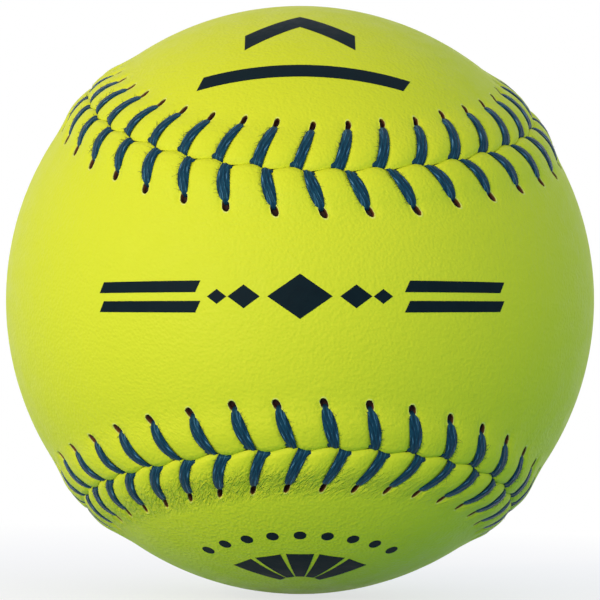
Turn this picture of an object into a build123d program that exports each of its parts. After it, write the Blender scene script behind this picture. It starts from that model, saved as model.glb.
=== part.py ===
"""Softball: a moulded core, two figure-eight cover panels and the two threads that sew them together.

The frame has its origin at the ball's centre, with the waist of the front panel facing -Y, that panel's
two lobes at -X and +X, and the lobes of the back panel at the top and the bottom.
"""

import os
from math import acos, asin, atan, cos, degrees, pi, radians, sin, sqrt

from build123d import *

# Driving dimensions, in millimetres and degrees
ball_circumference = 304.8
cover_thickness = 1.6
cement_film = 0.05
waist_half_angle = 27.0
stitch_count = 80
stitch_phase = 2.3
stitch_lean = 2.9
stitch_reach = 7.8
hole_width = 1.3
hole_length = 2.3
ridge_lift = 0.85
ridge_reach = 10.5
crest_reach = 3.4
roll_drop = 0.5
seam_gap = 0.8
tunnel_margin = 0.8
thread_width = 1.9
thread_neck = 0.9
thread_thickness = 0.5
thread_clearance = 0.1

# Sizes that follow from the driving dimensions
ball_radius = ball_circumference / (2 * pi)
core_radius = ball_radius - cover_thickness - cement_film
tunnel_reach = stitch_reach + tunnel_margin
roof_height = ridge_lift - cover_thickness

# The seam is four equal arcs, each about its own axis through the centre, joined at four inflections
waist = radians(waist_half_angle)
axis_tilt = atan((sin(pi / 4) - sin(waist)) / cos(waist))
arc_angle = acos(cos(axis_tilt) / sqrt(2))
half_span = acos(-sin(axis_tilt) / (sqrt(2) * sin(arc_angle)))
arc_axis = Vector(0, -sin(axis_tilt), cos(axis_tilt))
waist_direction = Vector(0, -cos(axis_tilt), -sin(axis_tilt))
quarter_length = 2 * half_span * ball_radius * sin(arc_angle)
stitches_per_quarter = stitch_count // 4
stitch_pitch = quarter_length / stitches_per_quarter


def next_quarter(vector, quarter):
    """Carry a vector of the first arc to another arc: a turn about Y with a reflection in XZ each time."""
    for _ in range(quarter % 4):
        vector = Vector(vector.Z, -vector.Y, -vector.X)
    return vector


def seam_frame(along, across, height):
    """Point and direction of travel at a place on the cover, with the front panel at positive across."""
    quarter, local = divmod(along, quarter_length)
    turn = local / quarter_length * 2 * half_span - half_span
    side = across if quarter % 2 == 0 else -across
    angle = arc_angle + asin(side / (ball_radius + height))
    sideways = Vector(1, 0, 0)
    outward = waist_direction * cos(turn) + sideways * sin(turn)
    travel = sideways * cos(turn) - waist_direction * sin(turn)
    point = (arc_axis * cos(angle) + outward * sin(angle)) * (ball_radius + height)
    return next_quarter(point, int(quarter)), next_quarter(travel, int(quarter))


def ridge_height(across):
    """Height of the cover over the ball's own radius, at a distance from the seam."""
    flank_run = (ridge_reach - crest_reach) / 2
    flank_radius = (flank_run**2 + (ridge_lift / 2) ** 2) / ridge_lift
    roll_run = crest_reach - seam_gap / 2
    roll_radius = (roll_run**2 + roll_drop**2) / (2 * roll_drop)
    if across >= crest_reach + flank_run:
        return flank_radius - sqrt(flank_radius**2 - (ridge_reach - across) ** 2)
    if across >= crest_reach:
        return ridge_lift - flank_radius + sqrt(flank_radius**2 - (across - crest_reach) ** 2)
    return ridge_lift - roll_radius + sqrt(roll_radius**2 - (crest_reach - across) ** 2)


# Plane of a cross-section at the start of the first arc: its y axis is the arc's own axis
section_plane = Plane(
    origin=(0, 0, 0),
    x_dir=waist_direction * cos(half_span) - Vector(1, 0, 0) * sin(half_span),
    z_dir=(waist_direction * sin(half_span) + Vector(1, 0, 0) * cos(half_span)) * -1,
)
seam_axis = Axis((0, 0, 0), arc_axis)


def polar(across, height, side):
    """Place in the cross-section, on the outer side of the arc (side 1) or inside it (side -1)."""
    angle = arc_angle + side * asin(across / (ball_radius + height))
    return ((ball_radius + height) * sin(angle), (ball_radius + height) * cos(angle))


def level_arc(start, end, height, side):
    """Arc about the ball's centre at one height over the ball's radius."""
    radius = ball_radius + height
    first = 90 - degrees(arc_angle + side * asin(start / radius))
    last = 90 - degrees(arc_angle + side * asin(end / radius))
    CenterArc((0, 0), radius, first, last - first)


def ridge_arc(start, end, side):
    """Arc of the ridge's outer surface between two distances from the seam."""
    places = (start, (start + end) / 2, end)
    ThreePointArc(*[polar(across, ridge_height(across), side) for across in places])


def edge_profile(side):
    """Section of a panel's sewn edge: it climbs over the hidden thread and rolls down into the seam."""
    edge = seam_gap / 2
    flank_middle = (ridge_reach + crest_reach) / 2
    ridge_arc(ridge_reach, flank_middle, side)
    ridge_arc(flank_middle, crest_reach, side)
    ridge_arc(crest_reach, edge, side)
    Polyline(
        polar(edge, ridge_height(edge), side),
        polar(edge, roof_height, side),
        polar((edge + tunnel_reach) / 2, roof_height, side),
        polar(tunnel_reach, roof_height, side),
        polar(ridge_reach, -cover_thickness, side),
        polar(ridge_reach, 0, side),
    )


def hole_planes():
    """Planes of the front panel's stitch holes, each with its x axis along the stitch."""
    planes = []
    for stitch in range(stitch_count):
        along = stitch * stitch_pitch + stitch_phase
        point, _ = seam_frame(along + stitch_lean, stitch_reach, 0)
        foot, _ = seam_frame(along, 0, 0)
        planes.append(Plane(origin=point, x_dir=point - foot, z_dir=point))
    return planes


# The core, moulded in one piece
with BuildPart() as core:
    Sphere(core_radius)

# A quarter of the front panel's sewn edge, which lies outside the first arc
with BuildPart() as outer_edge:
    with BuildSketch(section_plane):
        with BuildLine():
            edge_profile(1)
        make_face()
    revolve(axis=seam_axis, revolution_arc=2 * degrees(half_span))

# A quarter of the back panel's sewn edge, which lies inside the first arc
with BuildPart() as inner_edge:
    with BuildSketch(section_plane):
        with BuildLine():
            edge_profile(-1)
        make_face()
    revolve(axis=seam_axis, revolution_arc=2 * degrees(half_span))

# The same quarter of the cover's whole seam zone, which the sewn edges fill
with BuildPart() as seam_zone:
    with BuildSketch(section_plane):
        with BuildLine():
            level_arc(-ridge_reach, ridge_reach, ridge_lift, 1)
            Line(polar(ridge_reach, ridge_lift, 1), polar(ridge_reach, -2 * cover_thickness, 1))
            level_arc(-ridge_reach, ridge_reach, -2 * cover_thickness, 1)
            Line(polar(-ridge_reach, -2 * cover_thickness, 1), polar(-ridge_reach, ridge_lift, 1))
        make_face()
    revolve(axis=seam_axis, revolution_arc=2 * degrees(half_span))

def carried(solid, quarter):
    """Copy of a solid of the first arc at another arc, by the same turn and reflection."""
    if quarter % 2:
        solid = mirror(solid, about=Plane.XZ, mode=Mode.PRIVATE)
    return solid.rotate(Axis.Y, 90 * quarter)


# The plain leather that is left of a spherical shell on both sides of the seam zone
with BuildPart() as plain_leather:
    Sphere(ball_radius)
    Sphere(ball_radius - cover_thickness, mode=Mode.SUBTRACT)
    add([carried(seam_zone.part, quarter) for quarter in range(4)], mode=Mode.SUBTRACT)

# The front panel: its plain leather, its sewn edge round the four arcs and its stitch holes
with BuildPart() as front_panel:
    add(plain_leather.solids().sort_by(Axis.Y)[0])
    add([carried(outer_edge.part, 0), carried(outer_edge.part, 2)])
    add([carried(inner_edge.part, 1), carried(inner_edge.part, 3)])
    with BuildSketch(*hole_planes()):
        with Locations(((hole_length - hole_width) / 2, 0)):
            Rectangle(hole_length, hole_width)
    extrude(amount=cover_thickness + ridge_lift, both=True, mode=Mode.SUBTRACT)

# The back panel is the same blank, turned a quarter turn and laid on from behind
with BuildPart() as back_panel:
    add(carried(front_panel.part, 1))

under_height = (roof_height - cover_thickness - cement_film) / 2
thread_stand = thread_clearance + thread_thickness / 2


def stitch_rows(stitch, side):
    """One stitch as rows of along, across, height and width: up a hole, over its panel, down and under."""
    along = stitch * stitch_pitch + stitch_phase
    hole = along + stitch_lean
    foot = along + side * (thread_width / 2 + thread_clearance)
    next_hole = hole + stitch_pitch
    rows = [(hole, stitch_reach, under_height, thread_neck)]
    rows.append((hole, stitch_reach, ridge_height(stitch_reach) + thread_stand, thread_neck))
    for across in ((stitch_reach + crest_reach) / 2, crest_reach, crest_reach / 2):
        leaned = foot + (hole - foot) * across / stitch_reach
        rows.append((leaned, across, ridge_height(across) + thread_stand, thread_width))
    rows.append((foot, 0, ridge_height(seam_gap / 2) + thread_stand, thread_width))
    rows.append((foot, 0, under_height, thread_neck))
    rows.append(((foot + next_hole) / 2, -stitch_reach / 2, under_height, (thread_width + thread_neck) / 2))
    return [(where, side * across, height, width) for where, across, height, width in rows]


def thread_sections(first_side):
    """Planes and sizes of a thread's cross-sections along its whole route, mitred at each bend."""
    rows = []
    for stitch in range(stitch_count):
        rows += stitch_rows(stitch, first_side if stitch % 2 == 0 else -first_side)
    frames = [seam_frame(along, across, height) for along, across, height, _ in rows]
    points = [point for point, _ in frames]
    sections = []
    for i, (point, travel) in enumerate(frames):
        before = point - points[i - 1] if i else points[i + 1] - point
        after = points[i + 1] - point if i + 1 < len(points) else before
        before = (before - travel * before.dot(travel)).normalized()
        after = (after - travel * after.dot(travel)).normalized()
        ahead = (before + after).normalized()
        sections.append((Plane(origin=point, x_dir=travel, z_dir=ahead), rows[i][3], ahead.dot(after)))
    return sections


def stitch_lofts(sections):
    """One loft a stitch, each ending on the section where the next begins."""
    rows_per_stitch = len(sections) // stitch_count
    lofts = []
    for start in range(0, len(sections), rows_per_stitch):
        profiles = []
        for plane, width, mitre in sections[start : start + rows_per_stitch + 1]:
            with BuildSketch(plane) as profile:
                Rectangle(width, thread_thickness / mitre)
            profiles.append(profile.sketch.face())
        lofts.append(loft(profiles, ruled=True, mode=Mode.PRIVATE).solid())
    return lofts


# The two threads, each sewn with its own needle: where one lies over a panel the other lies under it
with BuildPart() as first_thread:
    first_stitch, *later_stitches = stitch_lofts(thread_sections(1))
    add(first_stitch.fuse(*later_stitches, glue=True))

with BuildPart() as second_thread:
    first_stitch, *later_stitches = stitch_lofts(thread_sections(-1))
    add(first_stitch.fuse(*later_stitches, glue=True))

os.makedirs("parts", exist_ok=True)
core.part.label = "core"
export_step(core.part, "parts/core.step")
front_panel.part.label = "front_panel"
export_step(front_panel.part, "parts/front_panel.step")
back_panel.part.label = "back_panel"
export_step(back_panel.part, "parts/back_panel.step")
first_thread.part.label = "first_thread"
export_step(first_thread.part, "parts/first_thread.step")
second_thread.part.label = "second_thread"
export_step(second_thread.part, "parts/second_thread.step")
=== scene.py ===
from math import acos, atan, cos, pi, radians, sin, sqrt

import bmesh
import bpy
import numpy as np
from mathutils import Matrix, Vector


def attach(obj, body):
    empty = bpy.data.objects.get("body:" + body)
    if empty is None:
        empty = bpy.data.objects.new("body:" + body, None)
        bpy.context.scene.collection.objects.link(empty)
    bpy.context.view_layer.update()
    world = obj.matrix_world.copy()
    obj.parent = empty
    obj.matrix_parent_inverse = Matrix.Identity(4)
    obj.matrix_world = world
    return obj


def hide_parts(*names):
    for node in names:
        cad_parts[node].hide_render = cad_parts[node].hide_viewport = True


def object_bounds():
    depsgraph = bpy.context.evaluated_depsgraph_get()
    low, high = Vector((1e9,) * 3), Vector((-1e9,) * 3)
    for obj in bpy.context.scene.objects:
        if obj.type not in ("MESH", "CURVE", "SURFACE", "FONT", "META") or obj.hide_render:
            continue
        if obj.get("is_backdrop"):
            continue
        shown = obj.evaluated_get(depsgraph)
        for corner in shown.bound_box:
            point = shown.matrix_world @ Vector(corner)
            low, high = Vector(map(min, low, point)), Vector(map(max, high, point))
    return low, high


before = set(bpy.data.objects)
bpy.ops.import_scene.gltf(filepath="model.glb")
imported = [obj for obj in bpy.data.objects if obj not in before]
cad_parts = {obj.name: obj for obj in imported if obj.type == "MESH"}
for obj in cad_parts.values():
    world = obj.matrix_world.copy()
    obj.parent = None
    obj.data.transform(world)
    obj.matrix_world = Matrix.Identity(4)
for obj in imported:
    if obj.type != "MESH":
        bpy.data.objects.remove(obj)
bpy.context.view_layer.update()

# The core: one solid ball of polyurethane, moulded in a two-part tool and left with a dull skin.
# Nothing fastens it but the cement under the cover, which hides all of it.
core_tan = (0.60, 0.47, 0.27, 1)
core_pale = (0.70, 0.58, 0.38, 1)


def node_adder(tree):
    """Helper that adds a node to a tree and links or sets its inputs, by name or as i and a number."""

    def add(kind, settings=None, **inputs):
        made = tree.nodes.new(kind)
        for key, value in (settings or {}).items():
            setattr(made, key, value)
        for key, value in inputs.items():
            number = key[1:]
            socket = made.inputs[int(number) if number.isdigit() else key.replace("_", " ")]
            if isinstance(value, bpy.types.NodeSocket):
                tree.links.new(value, socket)
            else:
                socket.default_value = value
        return made

    return add


def finish_of(name, roughness, specular):
    """New material with its shader, its links and the helper that adds its nodes."""
    material = bpy.data.materials.new(name)
    material.use_nodes = True
    tree = material.node_tree
    shader = tree.nodes["Principled BSDF"]
    shader.inputs["Roughness"].default_value = roughness
    shader.inputs["Specular IOR Level"].default_value = specular
    return material, shader, tree.links, node_adder(tree)


def clouds(add, place, scale, detail, **more):
    """Cloudy pattern of a finish, from about 0.3 to 0.7."""
    return add("ShaderNodeTexNoise", Vector=place, Scale=scale, Detail=detail, **more).outputs["Fac"]


def blended(add, share, first, second):
    """Colour that goes from the first to the second with a share."""
    return add("ShaderNodeMix", {"data_type": "RGBA"}, i0=share, i6=first, i7=second).outputs[2]


moulded_skin, shader, links, add = finish_of("moulded_core_skin", roughness=0.7, specular=0.3)
place = add("ShaderNodeTexCoord").outputs["Object"]
core_tone = blended(add, clouds(add, place, scale=90.0, detail=4.0), core_tan, core_pale)
links.new(core_tone, shader.inputs["Base Color"])
pores = clouds(add, place, scale=1400.0, detail=3.0)
pitted = add("ShaderNodeBump", Height=pores, Strength=0.3, Distance=0.0002)
links.new(pitted.outputs["Normal"], shader.inputs["Normal"])
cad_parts["core"].data.materials.clear()
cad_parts["core"].data.materials.append(moulded_skin)

# The two cover panels: figure-eight blanks of optic-yellow synthetic leather, 1.6 mm thick, with a fine
# grain. Their edges are punched, pulled together over the core and rolled down into the seam, where each
# stitch presses a groove into the leather and lets it puff up on both sides.
millimetre = 0.001
ball_circumference = 304.8
ball_radius = ball_circumference / (2 * pi)
cover_thickness = 1.6
waist = radians(27.0)
band_reach = 13.5
far_from_seam = 20.0

# The raised ridge along the seam, with the rolled edges and the zigzag line in which they meet
ridge_lift = 0.58
ridge_reach = 9.8
crest_reach = 3.8
edge_gap = 0.01
edge_roll = 0.9
edge_drop = 0.26
valley_drop = 0.34
sharp_angle = 50
zigzag = 0.42
zigzag_start = -1.9
zigzag_end = 1.4
zigzag_reach = 5.0

# The stitches, where 1 is the front panel and -1 the back one
stitch_count = 80
stitch_phase = 2.3
stitch_creep = 1.0
stitch_lean = {1: 2.75, -1: 1.55}
lean_slack = {1: 0.3, -1: -0.2}
lean_fan = {1: 1.2, -1: 1.15}
lean_luck = 0.15
stitch_reach = 6.35
reach_swell = 0.5
reach_extra = {1: 0.0, -1: 0.25}
reach_slack = {1: -0.35, -1: 0.4}
reach_luck = 0.2
foot_offset = {1: 0.65, -1: -1.0}
leg_bow = {1: 0.45, -1: 0.50}
leg_clear = 1.2
leg_run_out = 8.3

# Pulls of the sewing, each with its middle along the seam, its size and its reach
drift_places = (
    (75.0, -0.4, 38.0),
    (128.0, 1.8, 38.0),
    (158.0, 3.2, 32.0),
    (273.0, -2.2, 38.0),
    (362.0, -0.7, 34.0),
    (503.0, 3.0, 34.0),
)
reach_places = {
    1: ((118.0, 1.5, 38.0), (295.0, -0.8, 38.0)),
    -1: ((112.0, 0.5, 38.0), (150.0, -1.2, 28.0), (508.0, -1.6, 40.0)),
}
lean_places = {1: ((104.0, -1.6, 42.0),), -1: ((362.0, 0.6, 34.0),)}
creep_places = ((104.0, 1.9, 42.0),)
pull_start = (2.5, 5.7)
pull_end = (8.4, 12.0)

# What each stitch does to the leather: pillows beside it, a groove under it and a dip round its hole
pillow = 0.38
pillow_end = (2.4, 7.0)
pillow_at_edge = 0.35
pillow_rise = 1.0
groove = 0.26
groove_flank = (0.78, 1.36)
groove_easing = 0.45
groove_eased = (4.5, 6.5)
groove_end = (7.2, 8.6)
dip = 0.22
dip_reach = 1.5
dip_beyond = 0.2
hole_middle = 0.75
hole_half_length = 1.0
hole_half_width = 0.54
hole_depth = 0.85
hole_wall = (0.80, 1.02)
lip_middle = 1.15
lip_spread = 0.18
lip_height = 0.05

# Wrinkles beside the seam, deepest where the leather of the lower lobe is slack
wrinkle_least = 0.10
wrinkle_start = (1.0, 5.0)
wrinkle_end = (7.5, 11.0)
slack_place = 342.0
slack_reach = 44.0
slack_share = {1: 0.12, -1: 0.95}

# The seam's line: four equal arcs, each about its own axis through the ball's centre
axis_tilt = atan((sin(pi / 4) - sin(waist)) / cos(waist))
arc_angle = acos(cos(axis_tilt) / sqrt(2))
half_span = acos(-sin(axis_tilt) / (sqrt(2) * sin(arc_angle)))
arc_axis = np.array([0, -sin(axis_tilt), cos(axis_tilt)])
waist_direction = np.array([0, -cos(axis_tilt), -sin(axis_tilt)])
rightward = np.array([1.0, 0, 0])
quarter_length = 2 * half_span * ball_radius * sin(arc_angle)
seam_length = 4 * quarter_length
stitch_pitch = seam_length / stitch_count
chance = np.random.default_rng(12)
stitch_place = np.arange(stitch_count) * stitch_pitch + stitch_phase
round_ball = 2 * pi * (stitch_place - quarter_length / 2) / seam_length
round_arc = 4 * round_ball


def pulled(along, pulls):
    """Sum of local pulls on the leather at places along the seam."""
    total = np.zeros_like(along)
    for middle, size, reach in pulls:
        gap = (along - middle + seam_length / 2) % seam_length - seam_length / 2
        total = total + size * np.cos(np.clip(gap / reach, -1, 1) * pi / 2) ** 2
    return total


creep = stitch_creep * (1 - np.cos(round_ball))
stitch_place = stitch_place + creep + pulled(stitch_place, creep_places)


def on_cover(along, across, height):
    """Places on the cover, in metres: along the seam, across it with the front panel positive, and up.
    The seam drifts a little where the leather was pulled harder in sewing."""
    along, across, height = np.broadcast_arrays(along, across, height)
    across = across + pulled(along, drift_places)
    quarter = np.floor(along / quarter_length).astype(int)
    turn = (along / quarter_length - quarter) * 2 * half_span - half_span
    radius = ball_radius + height
    angle = arc_angle + np.arcsin(np.where(quarter % 2 == 0, across, -across) / radius)
    outward = np.cos(turn)[..., None] * waist_direction + np.sin(turn)[..., None] * rightward
    point = np.cos(angle)[..., None] * arc_axis + np.sin(angle)[..., None] * outward
    point = point * radius[..., None]
    for step in (1, 2, 3):
        carried = np.stack([point[..., 2], -point[..., 1], -point[..., 0]], axis=-1)
        point = np.where((quarter % 4 >= step)[..., None], carried, point)
    return point * millimetre


def ease(start, end, value):
    """Smooth step from 0 at start to 1 at end."""
    share = np.clip((value - start) / (end - start), 0, 1)
    return share * share * (3 - 2 * share)


def seam_wander(along):
    """How far the two feet of each stitch push the seam line across, in a slanting zigzag."""
    corners = np.stack([stitch_place + zigzag_start, stitch_place + zigzag_end], axis=-1).ravel()
    return np.interp(along, corners, np.tile([-zigzag, zigzag], stitch_count), period=seam_length)


def pushed_across(along, distance):
    """How far that zigzag still pushes the leather at a distance from the seam."""
    return seam_wander(along) * np.clip(1 - distance / zigzag_reach, 0, 1) ** 2


# Sewing pulls the holes closer to the seam where it changes its bend, and fans out their lean at the top
hole_lean, hole_reach, hole_bow = {}, {}, {}
for side in (1, -1):
    hole_bow[side] = leg_bow[side] * np.sin(round_arc)
    lean = stitch_lean[side] + lean_slack[side] * np.cos(round_ball)
    lean = lean + lean_fan[side] * np.sin(round_arc) * (0.5 + 0.5 * np.cos(round_ball))
    lean = lean + pulled(stitch_place, lean_places[side])
    hole_lean[side] = lean + chance.uniform(-lean_luck, lean_luck, stitch_count)
    reach = stitch_reach + reach_swell * np.cos(round_arc) + reach_slack[side] * np.cos(round_ball)
    reach = reach + reach_extra[side] + pulled(stitch_place, reach_places[side])
    hole_reach[side] = reach + chance.uniform(-reach_luck, reach_luck, stitch_count)


def ridge_height(distance):
    """Height of the cover over the ball's own radius, before the stitches shape it."""
    climb = 1 - ease(crest_reach, ridge_reach, distance)
    valley = valley_drop * np.clip(1 - distance / crest_reach, 0, 1) ** 2
    roll = np.clip((edge_roll - distance) / edge_roll, 0, 1)
    return ridge_lift * climb - valley - edge_drop * (1 - np.sqrt(1 - roll**2))


def sewn_height(distance, reach, offset):
    """Height of the sewn leather at an offset along the seam from the middle of a stitch leg."""
    puff = 0.5 - 0.5 * np.cos(2 * pi * offset / stitch_pitch)
    puff = puff * pillow * (1 - ease(*pillow_end, distance))
    puff = puff * (pillow_at_edge + (1 - pillow_at_edge) * ease(0.0, pillow_rise, distance))
    press = groove * (1 - ease(*groove_flank, np.abs(offset)))
    press = press * (1 - groove_easing * ease(*groove_eased, distance)) * (1 - ease(*groove_end, distance))
    beyond = (distance - reach - dip_beyond) / dip_reach
    dipped = dip * np.exp(-((offset / dip_reach) ** 2) - beyond**2)
    return ridge_height(distance) + puff - press - dipped


def leg_line(side, lean, reach, bow, distance):
    """Place of a stitch leg along the seam, from its foot to its hole and a little beyond, bowed."""
    share = np.clip(distance / reach, 0, 1)
    foot = foot_offset[side]
    straight = foot + (lean - foot) * np.minimum(distance, leg_run_out) / reach
    return straight + bow * 4 * share * (1 - share)


def hole_radius(distance, reach, offset):
    """Distance from the middle of a punched hole, as a share of its half length or half width."""
    lengthwise = (distance - reach - hole_middle) / hole_half_length
    return np.sqrt(lengthwise**2 + (offset / hole_half_width) ** 2)


# Places across one stitch, close together at the leg and its hole, and rows from the seam to plain leather
half_columns = [0.24, 0.44, 0.58, 0.78, 0.98, 1.18, 1.42, 2.1]
columns = [-stitch_pitch / 2] + [-offset for offset in reversed(half_columns)] + [0.0] + half_columns
rows = np.array(
    [edge_gap, 0.10, 0.18, 0.30, 0.45, 0.65, 0.9, 1.25, 1.7, 2.2, 2.75, 3.3, 3.85]
    + [4.4, 4.95, 5.4, 5.75, 5.98, 6.1, 6.22, 6.42, 6.75, 7.1, 7.45, 7.78, 7.98]
    + [8.1, 8.22, 8.45, 8.9, 9.5, 10.3, 11.2, 12.2, band_reach]
)
lining_rows = np.array([0.4, 3.0, 5.5, 7.6, 9.8, band_reach])
per_stitch = len(columns)
around = stitch_count * per_stitch

# The net of plain leather inside a sewn edge, in coarser steps than the edge itself
coarse = 4
quarter_steps = around // 4 // coarse
net_tall = 60
net_wide = 2 * quarter_steps - net_tall
lobe_wide = 20
first_corner = quarter_steps // 2 - net_wide // 2


def panel_columns(side):
    """Stitch of every column round a panel, its offset from the leg, and the leg's lean, reach and bow."""
    stitch = np.repeat(np.arange(stitch_count), per_stitch)
    offset = np.tile(columns, stitch_count)
    neighbour = (stitch + np.where(offset < 0, -1, 1)) % stitch_count
    share = 0.5 * ease(leg_clear, stitch_pitch / 2, np.abs(offset))

    def between(values):
        return values[stitch] * (1 - share) + values[neighbour] * share

    return stitch, offset, between(hole_lean[side]), between(hole_reach[side]), between(hole_bow[side])


def panel_surface(side):
    """Outer surface of a panel's sewn edge as rows of places, with its marks and its even places along."""
    stitch, offset, lean, reach, bow = panel_columns(side)
    first_column = round(stitch_phase / stitch_pitch * per_stitch) - per_stitch // 2
    even = (np.arange(around) + first_column) * seam_length / around
    places = []
    mark_names = ("hole", "rim", "seam_distance", "crease_across", "crease_along", "wrinkle")
    marks = {mark: [] for mark in mark_names}
    for row in rows:
        distance = row + (reach - stitch_reach) * ease(*pull_start, row) * (1 - ease(*pull_end, row))
        along = stitch_place[stitch] + leg_line(side, lean, reach, bow, distance) + offset
        along = along + (even - along) * ease(leg_run_out, band_reach, row)
        hole_share = hole_radius(distance, reach, offset)
        hole = 1 - ease(*hole_wall, hole_share)
        lip = np.exp(-(((hole_share - lip_middle) / lip_spread) ** 2))
        height = sewn_height(distance, reach, offset) + lip_height * lip - hole_depth * hole
        places.append(on_cover(along, side * distance + pushed_across(along, distance), height))
        slack = slack_share[side] * np.exp(-(((along - slack_place) / slack_reach) ** 2))
        wrinkle = (wrinkle_least + slack) * ease(*wrinkle_start, distance)
        marks["hole"].append(hole)
        marks["rim"].append(lip)
        marks["seam_distance"].append(distance)
        marks["crease_across"].append(along % seam_length - distance)
        marks["crease_along"].append(along % seam_length + distance)
        marks["wrinkle"].append(wrinkle * (1 - ease(*wrinkle_end, distance)))
    return np.array(places), marks, even


def plain_patch(edge, back, radius):
    """Plain leather inside a sewn edge: ribs across the waist, and a net that fills each lobe."""
    if back:
        edge = np.roll(edge, -quarter_steps, axis=0)
        edge = np.stack([-edge[:, 2], -edge[:, 1], edge[:, 0]], axis=-1)
    longitude = np.arctan2(edge[:, 0], -edge[:, 1])
    latitude = np.arcsin(edge[:, 2] / np.linalg.norm(edge, axis=1))
    ring = np.stack([longitude, latitude], axis=-1)
    steps = len(ring)
    top = ring[(first_corner + np.arange(net_wide + 1)) % steps]
    right = ring[(first_corner + net_wide + np.arange(net_tall + 1)) % steps]
    bottom = ring[(first_corner + 2 * net_wide + net_tall - np.arange(net_wide + 1)) % steps]
    left = ring[(first_corner - np.arange(net_tall + 1)) % steps]
    down = (np.arange(net_tall + 1) / net_tall)[None, :, None]
    net = (1 - down) * top[:, None] + down * bottom[:, None]
    out = (np.arange(lobe_wide + 1) / lobe_wide)[:, None, None]
    right_lobe = slice(net_wide - lobe_wide, None)
    left_lobe = slice(lobe_wide, None, -1)
    for lobe_end, lobe in ((right, right_lobe), (left, left_lobe)):
        rib = net[lobe][0]
        rib_line = (1 - down) * rib[0] + down * rib[-1]
        end_line = (1 - down) * lobe_end[0] + down * lobe_end[-1]
        corners = (1 - out) * rib_line + out * end_line
        net[lobe] = net[lobe] + (1 - out) * rib[None] + out * lobe_end[None] - corners
    longitude, latitude = net[..., 0], net[..., 1]
    right_share = np.cos(latitude) * np.sin(longitude)
    front_share = np.cos(latitude) * np.cos(longitude)
    point = np.stack([right_share, -front_share, np.sin(latitude)], axis=-1) * radius
    if back:
        point = np.stack([point[..., 2], -point[..., 1], -point[..., 0]], axis=-1)
    return point[1:-1, 1:-1].reshape(-1, 3)


def patch_faces(edge_start, inner_start, back, shift):
    """Faces of a plain patch; its outermost cells also take the finer places along the sewn edge."""
    first = quarter_steps * coarse if back else 0

    def edge_index(step):
        return edge_start + (first + step - shift) % around

    def edge_step(i, j):
        if j == 0:
            return first_corner + i
        if i == net_wide:
            return first_corner + net_wide + j
        if j == net_tall:
            return first_corner + 2 * net_wide + net_tall - i
        return first_corner - j

    def net_index(i, j):
        if i in (0, net_wide) or j in (0, net_tall):
            return edge_index(edge_step(i, j) * coarse)
        return inner_start + (i - 1) * (net_tall - 1) + j - 1

    faces = []
    for i in range(net_wide):
        for j in range(net_tall):
            corners = ((i, j), (i, j + 1), (i + 1, j + 1), (i + 1, j))
            loop = []
            for (i1, j1), (i2, j2) in zip(corners, corners[1:] + corners[:1]):
                loop.append(net_index(i1, j1))
                if i1 == i2 in (0, net_wide) or j1 == j2 in (0, net_tall):
                    loop += [edge_index(edge_step(i1, j1) * coarse - fine) for fine in range(1, coarse)]
            faces.append(loop)
    return faces


def put_in_scene(name, data):
    """New object of the scene with a mesh, a lamp or a camera."""
    made = bpy.data.objects.new(name, data)
    bpy.context.scene.collection.objects.link(made)
    return made


def mesh_object(name, places, faces, material, marks=None, sharp=None):
    """One mesh piece with faces turned outwards, smooth shading and its marks for the material."""
    mesh = bpy.data.meshes.new(name)
    mesh.from_pydata(places.tolist(), [], faces)
    work = bmesh.new()
    work.from_mesh(mesh)
    bmesh.ops.recalc_face_normals(work, faces=work.faces)
    work.to_mesh(mesh)
    work.free()
    for mark, values in (marks or {}).items():
        layer = mesh.attributes.new(mark, "FLOAT", "POINT")
        layer.data.foreach_set("value", np.asarray(values, np.float32).ravel())
    mesh.shade_smooth()
    if sharp:
        mesh.set_sharp_from_angle(angle=radians(sharp))
    mesh.materials.append(material)
    return put_in_scene(name, mesh)


def cover_panel(name, side, material):
    """A whole panel: sewn edge, plain leather, rolled edge wall and lining, as one closed skin."""
    outer, marks, even = panel_surface(side)
    shift = round(even[0] / seam_length * around)
    lining = []
    for row in lining_rows:
        inward = ridge_lift * (1 - ease(crest_reach, ridge_reach, row)) - cover_thickness
        lining.append(on_cover(even, side * row, inward))
    lining = np.array(lining)
    outer_edge = np.roll(outer[-1], shift, axis=0)[::coarse]
    lining_edge = np.roll(lining[-1], shift, axis=0)[::coarse]
    plain = plain_patch(outer_edge, side < 0, ball_radius * millimetre)
    plain_lining = plain_patch(lining_edge, side < 0, (ball_radius - cover_thickness) * millimetre)
    places = np.concatenate([outer.reshape(-1, 3), lining.reshape(-1, 3), plain, plain_lining])
    outer_starts = np.arange(len(rows)) * around
    lining_starts = (len(rows) + np.arange(len(lining_rows))) * around
    strips = list(zip(outer_starts[:-1], outer_starts[1:]))
    strips += list(zip(lining_starts[:-1], lining_starts[1:]))
    strips.append((lining_starts[0], outer_starts[0]))
    column = np.arange(around)
    after = (column + 1) % around
    faces = []
    for low, high in strips:
        faces += np.stack([low + column, low + after, high + after, high + column], axis=-1).tolist()
    plain_start = outer[..., 0].size + lining[..., 0].size
    faces += patch_faces(int(outer_starts[-1]), plain_start, side < 0, shift)
    faces += patch_faces(int(lining_starts[-1]), plain_start + len(plain), side < 0, shift)
    rest = len(places) - outer[..., 0].size
    for mark, values in marks.items():
        plain_value = far_from_seam if mark == "seam_distance" else 0.0
        marks[mark] = np.concatenate([np.array(values).ravel(), np.full(rest, plain_value)])
    return mesh_object(name, places, faces, material, marks, sharp_angle)


optic_yellow = (0.70, 0.76, 0.028, 1)
optic_yellow_deep = (0.66, 0.73, 0.022, 1)
# Hole pits: dark brown at their sides, going to near black towards the bottom; that darkening with depth is
# painted shade in the recess.
pit_side_brown = (0.150, 0.052, 0.022, 1)
pit_bottom_shade = (0.034, 0.013, 0.009, 1)
# The pale ring round each hole's lip is partly the cut edge's pale colour and partly a painted highlight.
cut_rim_highlight = (0.86, 0.84, 0.42, 1)
grain_scale = 1900.0
grain_smoothness = 0.6
slack_below = (-0.036, -0.027)


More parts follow.
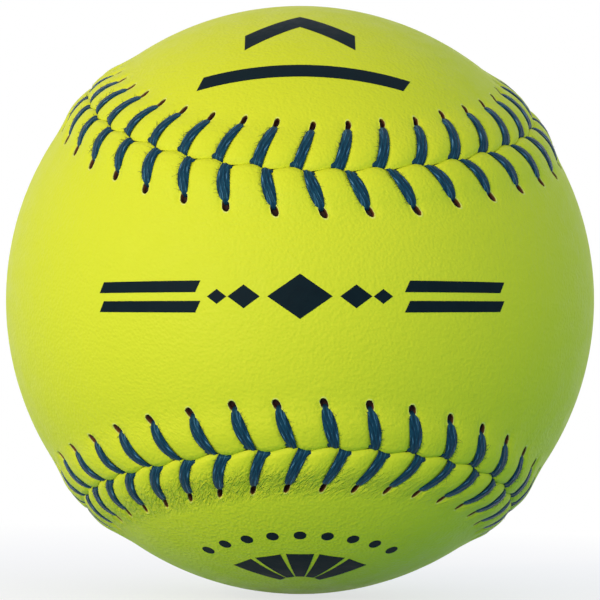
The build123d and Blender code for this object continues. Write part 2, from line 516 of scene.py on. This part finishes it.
def marked(add, name):
    """Value of a mark that the mesh carries."""
    return add("ShaderNodeAttribute", {"attribute_name": name}).outputs["Fac"]


def ranged(add, value, low, high, at_low=0.0, at_high=1.0):
    """Value at_low below a low mark and at_high above a high one, and even between them."""
    made = add("ShaderNodeMapRange", Value=value, i1=low, i2=high, i3=at_low, i4=at_high)
    return made.outputs["Result"]


def leather_grain(add, place):
    """Fine pebbled grain of the leather."""
    made = add(
        "ShaderNodeTexVoronoi",
        {"feature": "SMOOTH_F1"},
        Vector=place,
        Scale=grain_scale,
        Smoothness=grain_smoothness,
    )
    return made.outputs["Distance"]


cover_leather, shader, links, add = finish_of("optic_yellow_leather", roughness=0.5, specular=0.11)
place = add("ShaderNodeTexCoord").outputs["Object"]
mottle = clouds(add, place, scale=60.0, detail=5.0, Roughness=0.6)
dye = blended(add, mottle, optic_yellow_deep, optic_yellow)
# Pale ring at each hole's lip: partly the cut edge's colour, partly a painted highlight.
rim_highlight_share = ranged(add, marked(add, "rim"), 0.45, 1.0, at_high=0.45)
rim_highlighted = blended(add, rim_highlight_share, dye, cut_rim_highlight)
# Hole pits painted dark brown, then near black deeper down, as painted shade in the recess.
hole_mark = marked(add, "hole")
pit_share = ranged(add, hole_mark, 0.03, 0.2)
pit_shade_share = ranged(add, hole_mark, 0.25, 0.8)
punched = blended(add, pit_shade_share, pit_side_brown, pit_bottom_shade)
leather_colour = blended(add, pit_share, rim_highlighted, punched)
links.new(leather_colour, shader.inputs["Base Color"])
sheen = clouds(add, place, scale=350.0, detail=4.0)
links.new(ranged(add, sheen, 0.3, 0.7, at_low=0.42, at_high=0.56), shader.inputs["Roughness"])
height_mark = add("ShaderNodeSeparateXYZ", Vector=place).outputs["Z"]
grain_bump = add(
    "ShaderNodeBump",
    Height=leather_grain(add, place),
    Strength=ranged(add, height_mark, *slack_below, at_low=0.62, at_high=0.42),
    Distance=0.00018,
)
crease_bump = add(
    "ShaderNodeBump",
    Height=clouds(add, place, scale=700.0, detail=5.0, Roughness=0.6, Distortion=0.6),
    Strength=ranged(add, marked(add, "seam_distance"), 1.0, 11.0, at_low=0.5, at_high=0.36),
    Distance=0.00022,
    Normal=grain_bump.outputs["Normal"],
)
slanted = add("ShaderNodeCombineXYZ", X=marked(add, "crease_across"), Y=marked(add, "crease_along"))
drawn_out = add("ShaderNodeMapping", Vector=slanted.outputs["Vector"], Scale=(1.0, 0.36, 1.0))
wrinkle_bump = add(
    "ShaderNodeBump",
    Height=clouds(add, drawn_out.outputs["Vector"], scale=1.3, detail=3.0, Roughness=0.55, Distortion=0.7),
    Strength=marked(add, "wrinkle"),
    Distance=0.0009,
    Normal=crease_bump.outputs["Normal"],
)
links.new(wrinkle_bump.outputs["Normal"], shader.inputs["Normal"])

front_panel = cover_panel("front_cover_panel", 1, cover_leather)
back_panel = cover_panel("back_cover_panel", -1, cover_leather)
for piece, node in ((front_panel, "front_panel"), (back_panel, "back_panel")):
    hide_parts(node)
    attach(piece, "root")

# The sewing threads: two lengths of waxed, loosely twisted navy thread, each with its own needle.
# Each comes up through a hole, lies flat over one panel, goes down the seam and crosses under the other
# panel to its next hole there. Where one lies over a panel, the other lies under it.
ring_size = 24
ply_count = 6
ply_relief = 0.13
ply_spread = 0.35
ply_turn = 1.4

# One leg from its hole to the seam: share of its reach, rise over the leather, and half width on each panel
leg_share = np.array(
    [1.01, 1.005, 0.995, 0.975, 0.95, 0.91, 0.86, 0.79, 0.71, 0.62, 0.53, 0.44, 0.35]
    + [0.27, 0.20, 0.14, 0.095, 0.06, 0.035, 0.016, 0.004, 0.0]
)
leg_rise = np.array(
    [-1.15, -0.75, -0.38, -0.12, 0.0, 0.05, 0.09, 0.14, 0.19, 0.24, 0.29, 0.33, 0.35]
    + [0.35, 0.33, 0.28, 0.21, 0.11, -0.03, -0.24, -0.54, -0.9]
)
leg_half_width = {
    1: np.array(
        [0.42, 0.46, 0.52, 0.60, 0.67, 0.75, 0.85, 0.93, 0.99, 1.02, 1.02, 0.99, 0.94]
        + [0.88, 0.82, 0.77, 0.73, 0.70, 0.68, 0.67, 0.66, 0.6]
    ),
    -1: np.array(
        [0.42, 0.46, 0.51, 0.57, 0.63, 0.69, 0.74, 0.78, 0.82, 0.84, 0.86, 0.87, 0.88]
        + [0.88, 0.88, 0.88, 0.88, 0.88, 0.88, 0.88, 0.86, 0.8]
    ),
}
width_change = 0.05
width_beat = 2.7
leg_half_depths = (0.232, 0.3335)
leg_bulk = 0.32
bulk_spread = 0.4
foot_flare = {1: 1.0, -1: 1.15}
flare_part = (0.86, 0.99)
foot_part = (0.72, 0.94)
slope_part = (0.70, 0.95)
half_step = 0.5
sunk_places = ((145.0, 0.30, 24.0), (247.0, 0.30, 24.0), (406.0, 0.30, 24.0), (509.0, 0.32, 24.0))

# The two places on the way under the other panel, where the thread is hidden
under_share = np.array([0.35, 0.75])
under_reach = np.array([0.35, 0.8])
under_height = [-1.25, -1.35]
under_half_width = [0.6, 0.5]
hidden = 2.0

# Loose fibres: chance and longest length by edge of a leg, and the spread of their roots and bends
fuzz_tries = 3
fuzz_part = (0.03, 0.93)
fuzz_edges = ((-1, 0.6, 1.15), (1, 0.22, 0.7))
fuzz_shortest = 0.3
fuzz_root = (0.6, 0.95)
fuzz_lift = 0.08
fuzz_outward = (0.35, 1.0)
fuzz_ahead = (-1.0, 1.0)
fuzz_upward = (0.0, 0.25)
fuzz_bend_ahead = (-0.8, 0.8)
fuzz_bend_up = (-0.35, 0.2)
fuzz_curl = 0.6
fuzz_tilt = 0.3
fuzz_taper = ((0.0, 0.026), (0.4, 0.022), (0.75, 0.017), (1.0, 0.008))
fuzz_sides = 3


def thread_route(first_side):
    """Places along a thread's closed route, with half width, share of a leg and flare of the foot."""
    along, across, height, width, shown, flare = [], [], [], [], [], []
    sunk = pulled(stitch_place, sunk_places)
    for stitch in range(stitch_count):
        side = first_side if stitch % 2 == 0 else -first_side
        start = stitch_place[stitch]
        lean, reach, bow = hole_lean[side][stitch], hole_reach[side][stitch], hole_bow[side][stitch]
        next_hole = start + stitch_pitch + hole_lean[-side][(stitch + 1) % stitch_count]
        foot = start + foot_offset[side]
        distance = leg_share * reach
        leg_along = start + leg_line(side, lean, reach, bow, distance)
        leg_across = side * distance + pushed_across(leg_along, distance)
        leather = sewn_height(np.maximum(distance, edge_roll), reach, 0.0)
        spread = 1 + width_change * sin(stitch * width_beat + side)
        along += list(leg_along) + list(foot + (next_hole - foot) * under_share)
        across += list(leg_across) + list(-side * under_reach * stitch_reach)
        height += list(leather + leg_rise - sunk[stitch]) + under_height
        width += list(leg_half_width[side] * spread) + under_half_width
        shown += list(1 - leg_share) + [hidden, hidden]
        flare += list(side * foot_flare[side] * ease(*flare_part, 1 - leg_share)) + [0.0, 0.0]
    return map(np.array, (along, across, height, width, shown, flare))


def unit(vectors):
    """Vectors of the same directions with a length of 1."""
    return vectors / np.linalg.norm(vectors, axis=-1, keepdims=True)


def thread_rings(first_side):
    """Rings of places round a thread, flattened where it lies on the leather, with its plies as ridges."""
    along, across, height, width, shown, flare = thread_route(first_side)
    middle = on_cover(along, across, height)
    ahead = unit(np.roll(middle, -1, axis=0) - np.roll(middle, 1, axis=0))
    on_top = shown < hidden
    slope = seam_wander(along + half_step) - seam_wander(along - half_step)
    slope = slope * ease(*slope_part, shown) * on_top
    step_ahead = on_cover(along + half_step, across + slope * half_step, height)
    step_back = on_cover(along - half_step, across - slope * half_step, height)
    travel = unit(step_ahead - step_back)
    square = unit(travel - np.sum(travel * ahead, axis=-1, keepdims=True) * ahead)
    foot = (ease(*foot_part, shown) * on_top)[:, None]
    wide = unit(square * (1 - foot) + travel * foot)
    up = unit(np.cross(wide, ahead))
    round_ring = np.arange(ring_size) / ring_size * 2 * pi
    plies = 1 + ply_relief * np.cos(ply_count * round_ring + ply_turn * shown[:, None])
    depth = np.clip(leg_bulk / np.sqrt(width + bulk_spread), *leg_half_depths)
    sideways = width[:, None] * np.cos(round_ring) * (1 + ply_spread * (plies - 1))
    outer_share = np.clip(np.sign(flare)[:, None] * np.cos(round_ring), 0, 1) ** 2
    sideways = sideways + flare[:, None] * outer_share
    upward = depth[:, None] * np.sin(round_ring) * plies
    offset = sideways[..., None] * wide[:, None] + upward[..., None] * up[:, None]
    return middle[:, None] + millimetre * offset, sideways, (middle, ahead, wide, up, width, shown)


def fuzz_hairs(route, seed):
    """Short fibres that stand off the edges of the legs, as places and faces of thin closed tubes."""
    middle, ahead, wide, up, width, shown = route
    luck = np.random.default_rng(seed)
    showing = np.flatnonzero((shown > fuzz_part[0]) & (shown < fuzz_part[1]))
    places, faces = [], []
    for ring in np.repeat(showing, fuzz_tries):
        for edge, likely, longest in fuzz_edges:
            if luck.random() > likely:
                continue
            out = np.sign(np.dot(up[ring], middle[ring]))
            root = middle[ring] + millimetre * wide[ring] * edge * width[ring] * luck.uniform(*fuzz_root)
            root = root + millimetre * up[ring] * out * fuzz_lift
            aim = wide[ring] * edge * luck.uniform(*fuzz_outward)
            aim = aim + ahead[ring] * luck.uniform(*fuzz_ahead)
            aim = aim + up[ring] * out * luck.uniform(*fuzz_upward)
            bend = ahead[ring] * luck.uniform(*fuzz_bend_ahead)
            bend = bend + up[ring] * out * luck.uniform(*fuzz_bend_up)
            length = millimetre * luck.uniform(fuzz_shortest, longest)
            aim = unit(aim)
            first_across = unit(np.cross(aim, up[ring] + fuzz_tilt * wide[ring]))
            second_across = np.cross(aim, first_across)
            first = len(places)
            for step, thick in fuzz_taper:
                spine = root + length * (aim * step + bend * step * step * fuzz_curl)
                for corner in range(fuzz_sides):
                    turn = corner * 2 * pi / fuzz_sides
                    beside = first_across * cos(turn) + second_across * sin(turn)
                    places.append(spine + millimetre * thick * beside)
            last = len(places) - fuzz_sides
            for start in range(first, last, fuzz_sides):
                for corner in range(fuzz_sides):
                    one, other = start + corner, start + (corner + 1) % fuzz_sides
                    faces.append([one, other, other + fuzz_sides, one + fuzz_sides])
            faces.append([first, first + 2, first + 1])
            faces.append([last, last + 1, last + 2])
    return np.array(places), faces


def sewing_thread(name, first_side, material, seed):
    """One thread as a closed tube along its whole route, with its loose fibres."""
    rings, lay, route = thread_rings(first_side)
    shown = route[-1]
    count = len(rings)
    one = np.arange(count * ring_size).reshape(count, ring_size)
    beyond = np.roll(one, -1, axis=0)
    faces = np.stack([one, np.roll(one, -1, axis=1), np.roll(beyond, -1, axis=1), beyond], axis=-1)
    faces = faces.reshape(-1, 4).tolist()
    hairs, hair_faces = fuzz_hairs(route, seed)
    faces += [[corner + one.size for corner in face] for face in hair_faces]
    places = np.concatenate([rings.reshape(-1, 3), hairs])
    run = np.repeat(shown * stitch_reach, ring_size)
    no_mark = np.zeros(len(hairs))
    marks = {"lay": np.concatenate([lay.ravel(), no_mark]), "run": np.concatenate([run, no_mark])}
    return mesh_object(name, places, faces, material, marks)


# Thread tones: navy and teal strands, with pale streaks that are partly lighter fibres and partly painted
# glints.
thread_navy = (0.0050, 0.014, 0.029, 1)
thread_teal = (0.0105, 0.066, 0.102, 1)
thread_pale_glint = (0.190, 0.400, 0.540, 1)
wax_tint = (0.22, 0.75, 1.0, 1)

waxed_thread, shader, links, add = finish_of("waxed_navy_thread", roughness=0.24, specular=0.12)
shader.inputs["Specular Tint"].default_value = wax_tint
strand_place = add("ShaderNodeCombineXYZ", X=marked(add, "lay"), Y=marked(add, "run"))
stretched = add("ShaderNodeMapping", Vector=strand_place.outputs["Vector"], Scale=(1.0, 0.12, 1.0))
strand_lines = stretched.outputs["Vector"]
strands = clouds(add, strand_lines, scale=3.4, detail=4.0, Roughness=0.65)
# Strand colours from the noise; the pale streaks are partly painted glints.
strand_tones_glints = add("ShaderNodeValToRGB", Fac=strands)
tones = strand_tones_glints.color_ramp.elements
tones[0].position = 0.36
tones[0].color = thread_navy
tones[1].position = 0.72
tones[1].color = thread_pale_glint
tones.new(0.57).color = thread_teal
links.new(strand_tones_glints.outputs["Color"], shader.inputs["Base Color"])
place = add("ShaderNodeTexCoord").outputs["Object"]
wax = clouds(add, place, scale=900.0, detail=2.0)
links.new(ranged(add, wax, 0.3, 0.7, at_low=0.16, at_high=0.34), shader.inputs["Roughness"])
filaments = clouds(add, strand_lines, scale=2.6, detail=1.0)
fibre_bump = add("ShaderNodeBump", Height=filaments, Strength=0.7, Distance=0.0004)
links.new(fibre_bump.outputs["Normal"], shader.inputs["Normal"])

first_thread = sewing_thread("first_needle_thread", 1, waxed_thread, seed=31)
second_thread = sewing_thread("second_needle_thread", -1, waxed_thread, seed=47)
for piece, node in ((first_thread, "first_thread"), (second_thread, "second_thread")):
    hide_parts(node)
    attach(piece, "root")

# The print: plain ornament stamped on the finished ball in dark navy ink, with lozenges and bars round
# the waist, a bar and a chevron on the upper lobe, and a fan of rays under a row of dots on the lower one.
# The ink dries as a film far thinner than the leather's grain, so the grain shows through it.
ball_turn = Vector((radians(2.15), radians(0.94), radians(5.73)))
stamp_facing = Matrix.Rotation(ball_turn.length, 3, ball_turn.normalized()).inverted()
ink_film = 0.035
ink_key = 0.02
ink_step = 1.1
ink_edge_angle = 40
dot_lines = 7
ink_navy = (0.0030, 0.010, 0.014, 1)
ink_worn = (0.0070, 0.018, 0.022, 1)
tiny = 1e-9


def stamped(middle, places, height):
    """Places of a stamp in mm, wrapped on the ball; its middle is given in degrees from the front."""
    across, lift = radians(middle[0]), radians(middle[1])
    centre = np.array([sin(across) * cos(lift), -cos(across) * cos(lift), sin(lift)])
    east = np.array([cos(across), sin(across), 0])
    north = np.cross(centre, east)
    reach = np.linalg.norm(places, axis=-1)
    bend = reach / ball_radius
    share = np.where(reach > tiny, np.sin(bend) / np.maximum(reach, tiny), 0)
    point = np.cos(bend)[..., None] * centre
    point = point + share[..., None] * (places[..., :1] * east + places[..., 1:] * north)
    return (point * (ball_radius + height) * millimetre) @ np.array(stamp_facing).T


def ink_cells(one_end, other_end, far_one_end, far_other_end):
    """How many cells of about one ink step the longer of two sides takes."""
    longer = max(np.linalg.norm(other_end - one_end), np.linalg.norm(far_other_end - far_one_end))
    return max(1, int(np.ceil(longer / ink_step)))


def four_corner(a, b, c, d):
    """Net of places inside four corners."""
    a, b, c, d = (np.array(corner, float) for corner in (a, b, c, d))
    wide, tall = ink_cells(a, b, d, c), ink_cells(a, d, b, c)
    u = (np.arange(wide + 1) / wide)[:, None, None]
    v = (np.arange(tall + 1) / tall)[None, :, None]
    return (1 - u) * (1 - v) * a + u * (1 - v) * b + u * v * c + (1 - u) * v * d


def lozenge(x, half_width, half_height):
    """Upright lozenge on the stamp's middle line."""
    return four_corner((x - half_width, 0), (x, -half_height), (x + half_width, 0), (x, half_height))


def slanted_bar(start, end, low, high, slant):
    """Level bar whose two ends slant by the same run."""
    return four_corner((start, low), (end, low), (end + slant, high), (start + slant, high))


def dot(x, y, radius):
    """Round dot as a square net pushed out to a circle."""
    line = np.linspace(-1, 1, dot_lines)
    u, v = np.meshgrid(line, line, indexing="ij")
    round_u = u * np.sqrt(1 - v * v / 2)
    round_v = v * np.sqrt(1 - u * u / 2)
    return np.stack([x + radius * round_u, y + radius * round_v], axis=-1)


def printed_marks(name, middle, nets, material):
    """One stamp: every net becomes a thin closed film of ink on the leather."""
    places, faces = [], []
    total = 0
    for net in nets:
        wide, tall = net.shape[:2]
        size = wide * tall
        places.append(stamped(middle, net.reshape(-1, 2), ink_film))
        places.append(stamped(middle, net.reshape(-1, 2), -ink_key))
        index = np.arange(size).reshape(wide, tall) + total
        cells = np.stack([index[:-1, :-1], index[1:, :-1], index[1:, 1:], index[:-1, 1:]], axis=-1)
        cells = cells.reshape(-1, 4)
        faces += cells.tolist() + (cells[:, ::-1] + size).tolist()
        rim = np.concatenate([index[:, 0], index[-1, 1:], index[-2::-1, -1], index[0, -2:0:-1]])
        after = np.roll(rim, -1)
        faces += np.stack([rim, rim + size, after + size, after], axis=-1).tolist()
        total += 2 * size
    return mesh_object(name, np.concatenate(places), faces, material, sharp=ink_edge_angle)


print_ink, shader, links, add = finish_of("navy_print_ink", roughness=0.5, specular=0.03)
place = add("ShaderNodeTexCoord").outputs["Object"]
wear = clouds(add, place, scale=500.0, detail=4.0)
links.new(blended(add, wear, ink_navy, ink_worn), shader.inputs["Base Color"])
links.new(ranged(add, wear, 0.3, 0.7, at_low=0.38, at_high=0.55), shader.inputs["Roughness"])
ink_bump = add("ShaderNodeBump", Height=leather_grain(add, place), Strength=0.16, Distance=0.00012)
links.new(ink_bump.outputs["Normal"], shader.inputs["Normal"])

waist_middle = (0.0, 0.7)
large_lozenge = (5.2, 3.6)
small_lozenges = ((9.0, 2.6, 1.9), (13.4, 1.6, 1.2))
bar_ends = (17.0, 35.0)
bar_levels = ((0.7, 2.6), (-2.6, -0.7))
bar_slant = 0.9
waist_nets = [lozenge(0, *large_lozenge)]
for way in (-1, 1):
    for x, half_width, half_height in small_lozenges:
        waist_nets.append(lozenge(way * x, half_width, half_height))
    start, end = sorted(way * bar_end for bar_end in bar_ends)
    for low, high in bar_levels:
        waist_nets.append(slanted_bar(start, end, low, high, bar_slant))
waist_print = printed_marks("waist_print", waist_middle, waist_nets, print_ink)

upper_middle = (0.0, 53.0)
upper_bar = (-17.0, 17.0, -4.5, -1.5, 1.2)
chevron_left_low, chevron_left_high = (-9.0, 4.0), (-9.0, 9.0)
chevron_tip_low, chevron_tip_high = (0.0, 11.0), (0.0, 16.0)
chevron_right_low, chevron_right_high = (9.0, 4.0), (9.0, 9.0)
upper_nets = [slanted_bar(*upper_bar)]
upper_nets.append(four_corner(chevron_left_low, chevron_tip_low, chevron_tip_high, chevron_left_high))
upper_nets.append(four_corner(chevron_tip_low, chevron_right_low, chevron_right_high, chevron_tip_high))
upper_print = printed_marks("upper_lobe_print", upper_middle, upper_nets, print_ink)

lower_middle = (0.0, -72.0)
ray_turns = (-52, -26, 0, 26, 52)
ray_ends = (3.5, 12.0)
ray_half_widths = (0.7, 2.3)
dot_turns = (-60, -45, -30, -15, 0, 15, 30, 45, 60)
dot_reach = 17.5
dot_radius = 1.05
lower_nets = []
for ray_turn in ray_turns:
    aim = radians(ray_turn)
    along_ray, beside_ray = np.array([sin(aim), cos(aim)]), np.array([cos(aim), -sin(aim)])
    inner, outer = along_ray * ray_ends[0], along_ray * ray_ends[1]
    narrow, broad = beside_ray * ray_half_widths[0], beside_ray * ray_half_widths[1]
    lower_nets.append(four_corner(inner - narrow, inner + narrow, outer + broad, outer - broad))
for dot_turn in dot_turns:
    aim = radians(dot_turn)
    lower_nets.append(dot(dot_reach * sin(aim), dot_reach * cos(aim), dot_radius))
lower_print = printed_marks("lower_lobe_print", lower_middle, lower_nets, print_ink)

for piece in (waist_print, upper_print, lower_print):
    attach(piece, "root")

# The floor: a plain pale sheet under the ball, white to the eye and keeping the ball's soft shadow.
# It gives back little light, so the ball's underside stays as dark as in the studio.
floor_drop = 0.0005
floor_half = 3.0
floor_bounce = (0.15, 0.48, 0.68, 1)
floor_pale = (0.95, 0.95, 0.95, 1)
shadow_run = (0.05, 0.18)
white_near_ball = 0.7


def in_sight(add):
    """1 for a ray that shows a thing to the eye, also mirrored or through glass, and 0 for other light."""
    ray = add("ShaderNodeLightPath").outputs
    larger = {"operation": "MAXIMUM"}
    either = add("ShaderNodeMath", larger, i0=ray["Is Camera Ray"], i1=ray["Is Glossy Ray"])
    return add("ShaderNodeMath", larger, i0=either.outputs[0], i1=ray["Is Transmission Ray"]).outputs[0]


def mixed(add, share, first, second):
    """Shader that goes from the first to the second with a share."""
    return add("ShaderNodeMixShader", i0=share, i1=first.outputs[0], i2=second.outputs[0])


floor_paint = bpy.data.materials.new("pale_floor")
floor_paint.use_nodes = True
floor_paint.node_tree.nodes.clear()
add = node_adder(floor_paint.node_tree)
bounce = add("ShaderNodeBsdfDiffuse", Color=floor_bounce)
pale = add("ShaderNodeBsdfDiffuse", Color=floor_pale)
white = add("ShaderNodeEmission", Strength=1.0)
floor_place = add("ShaderNodeTexCoord").outputs["Object"]
from_middle = add("ShaderNodeVectorMath", {"operation": "LENGTH"}, i0=floor_place).outputs["Value"]
white_share = ranged(add, from_middle, *shadow_run, at_low=white_near_ball)
bright = mixed(add, white_share, pale, white)
floor_look = mixed(add, in_sight(add), bounce, bright)
add("ShaderNodeOutputMaterial", Surface=floor_look.outputs[0])

floor_mesh = bpy.data.meshes.new("floor")
floor_level = -millimetre * ball_radius - floor_drop
corners = [(x * floor_half, y * floor_half, floor_level) for x, y in ((-1, -1), (1, -1), (1, 1), (-1, 1))]
floor_mesh.from_pydata(corners, [], [(0, 1, 2, 3)])
floor_mesh.materials.append(floor_paint)
floor = put_in_scene("floor", floor_mesh)
floor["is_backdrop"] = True

# The studio: a large soft lamp at the left in front, a smaller one further round, and a dim cool light
# all round that fades overhead. The background is plain white to the eye.
key_turn = radians(-35)
key_lift = radians(7)
key_size = (0.9, 0.16)
key_power = 6.4
key_tint = (1.0, 0.80, 0.62)
side_turn = radians(-66)
side_lift = radians(24)
side_size = (0.13, 0.13)
side_power = 2.4
side_tint = (1.0, 0.62, 0.55)
lamp_distance = 1.1
fill_tint = (0.86, 1.0, 1.3, 1)
fill_level = 1.0
fill_overhead = 0.3

world = bpy.data.worlds.new("studio")
bpy.context.scene.world = world
world.use_nodes = True
world.node_tree.nodes.clear()
add = node_adder(world.node_tree)
way_out = add("ShaderNodeTexCoord").outputs["Generated"]
overhead = add("ShaderNodeSeparateXYZ", Vector=way_out).outputs["Z"]
fill_strength = ranged(add, overhead, 0.0, 1.0, at_low=fill_level, at_high=fill_overhead)
fill = add("ShaderNodeBackground", Color=fill_tint, Strength=fill_strength)
white = add("ShaderNodeBackground", Color=(1, 1, 1, 1), Strength=1.0)
studio_look = mixed(add, in_sight(add), fill, white)
add("ShaderNodeOutputWorld", Surface=studio_look.outputs[0])


def soft_lamp(name, turn, lift, size, power, tint):
    """Area lamp that faces the ball's centre, at a turn from the ball's front and a lift."""
    lamp = bpy.data.lights.new(name, "AREA")
    lamp.shape = "RECTANGLE"
    lamp.size, lamp.size_y = size
    lamp.energy = power
    lamp.color = tint
    spot = Vector((sin(turn) * cos(lift), -cos(turn) * cos(lift), sin(lift))) * lamp_distance
    placed = put_in_scene(name, lamp)
    placed.location = spot
    placed.rotation_euler = (-spot).to_track_quat("-Z", "Y").to_euler()


soft_lamp("key_lamp", key_turn, key_lift, key_size, key_power, key_tint)
soft_lamp("side_lamp", side_turn, side_lift, side_size, side_power, side_tint)

# The camera: a long lens about 25 ball radii away, so that the ball shows almost no perspective.
# It stands a little to the left of the ball's own front and a little above it, square to the stamps.
view_distance = 24.69
sensor_width = 36.0
half_frame = 300
outline_radius = 294.16
nearest_seen = 0.05
farthest_seen = 20.0

toward = stamp_facing @ Vector((0, -1, 0))
right = stamp_facing @ Vector((1, 0, 0))
upright = stamp_facing @ Vector((0, 0, 1))
camera_data = bpy.data.cameras.new("camera")
camera_data.sensor_width = sensor_width
camera_data.lens = sensor_width / 2 * outline_radius / half_frame * sqrt(view_distance**2 - 1)
camera_data.clip_start = nearest_seen
camera_data.clip_end = farthest_seen
camera = put_in_scene("camera", camera_data)
camera.location = toward * view_distance * ball_radius * millimetre
camera.rotation_euler = Matrix((right, upright, toward)).transposed().to_euler()
bpy.context.scene.camera = camera
bpy.context.scene.view_settings.view_transform = "Standard"

low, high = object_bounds()
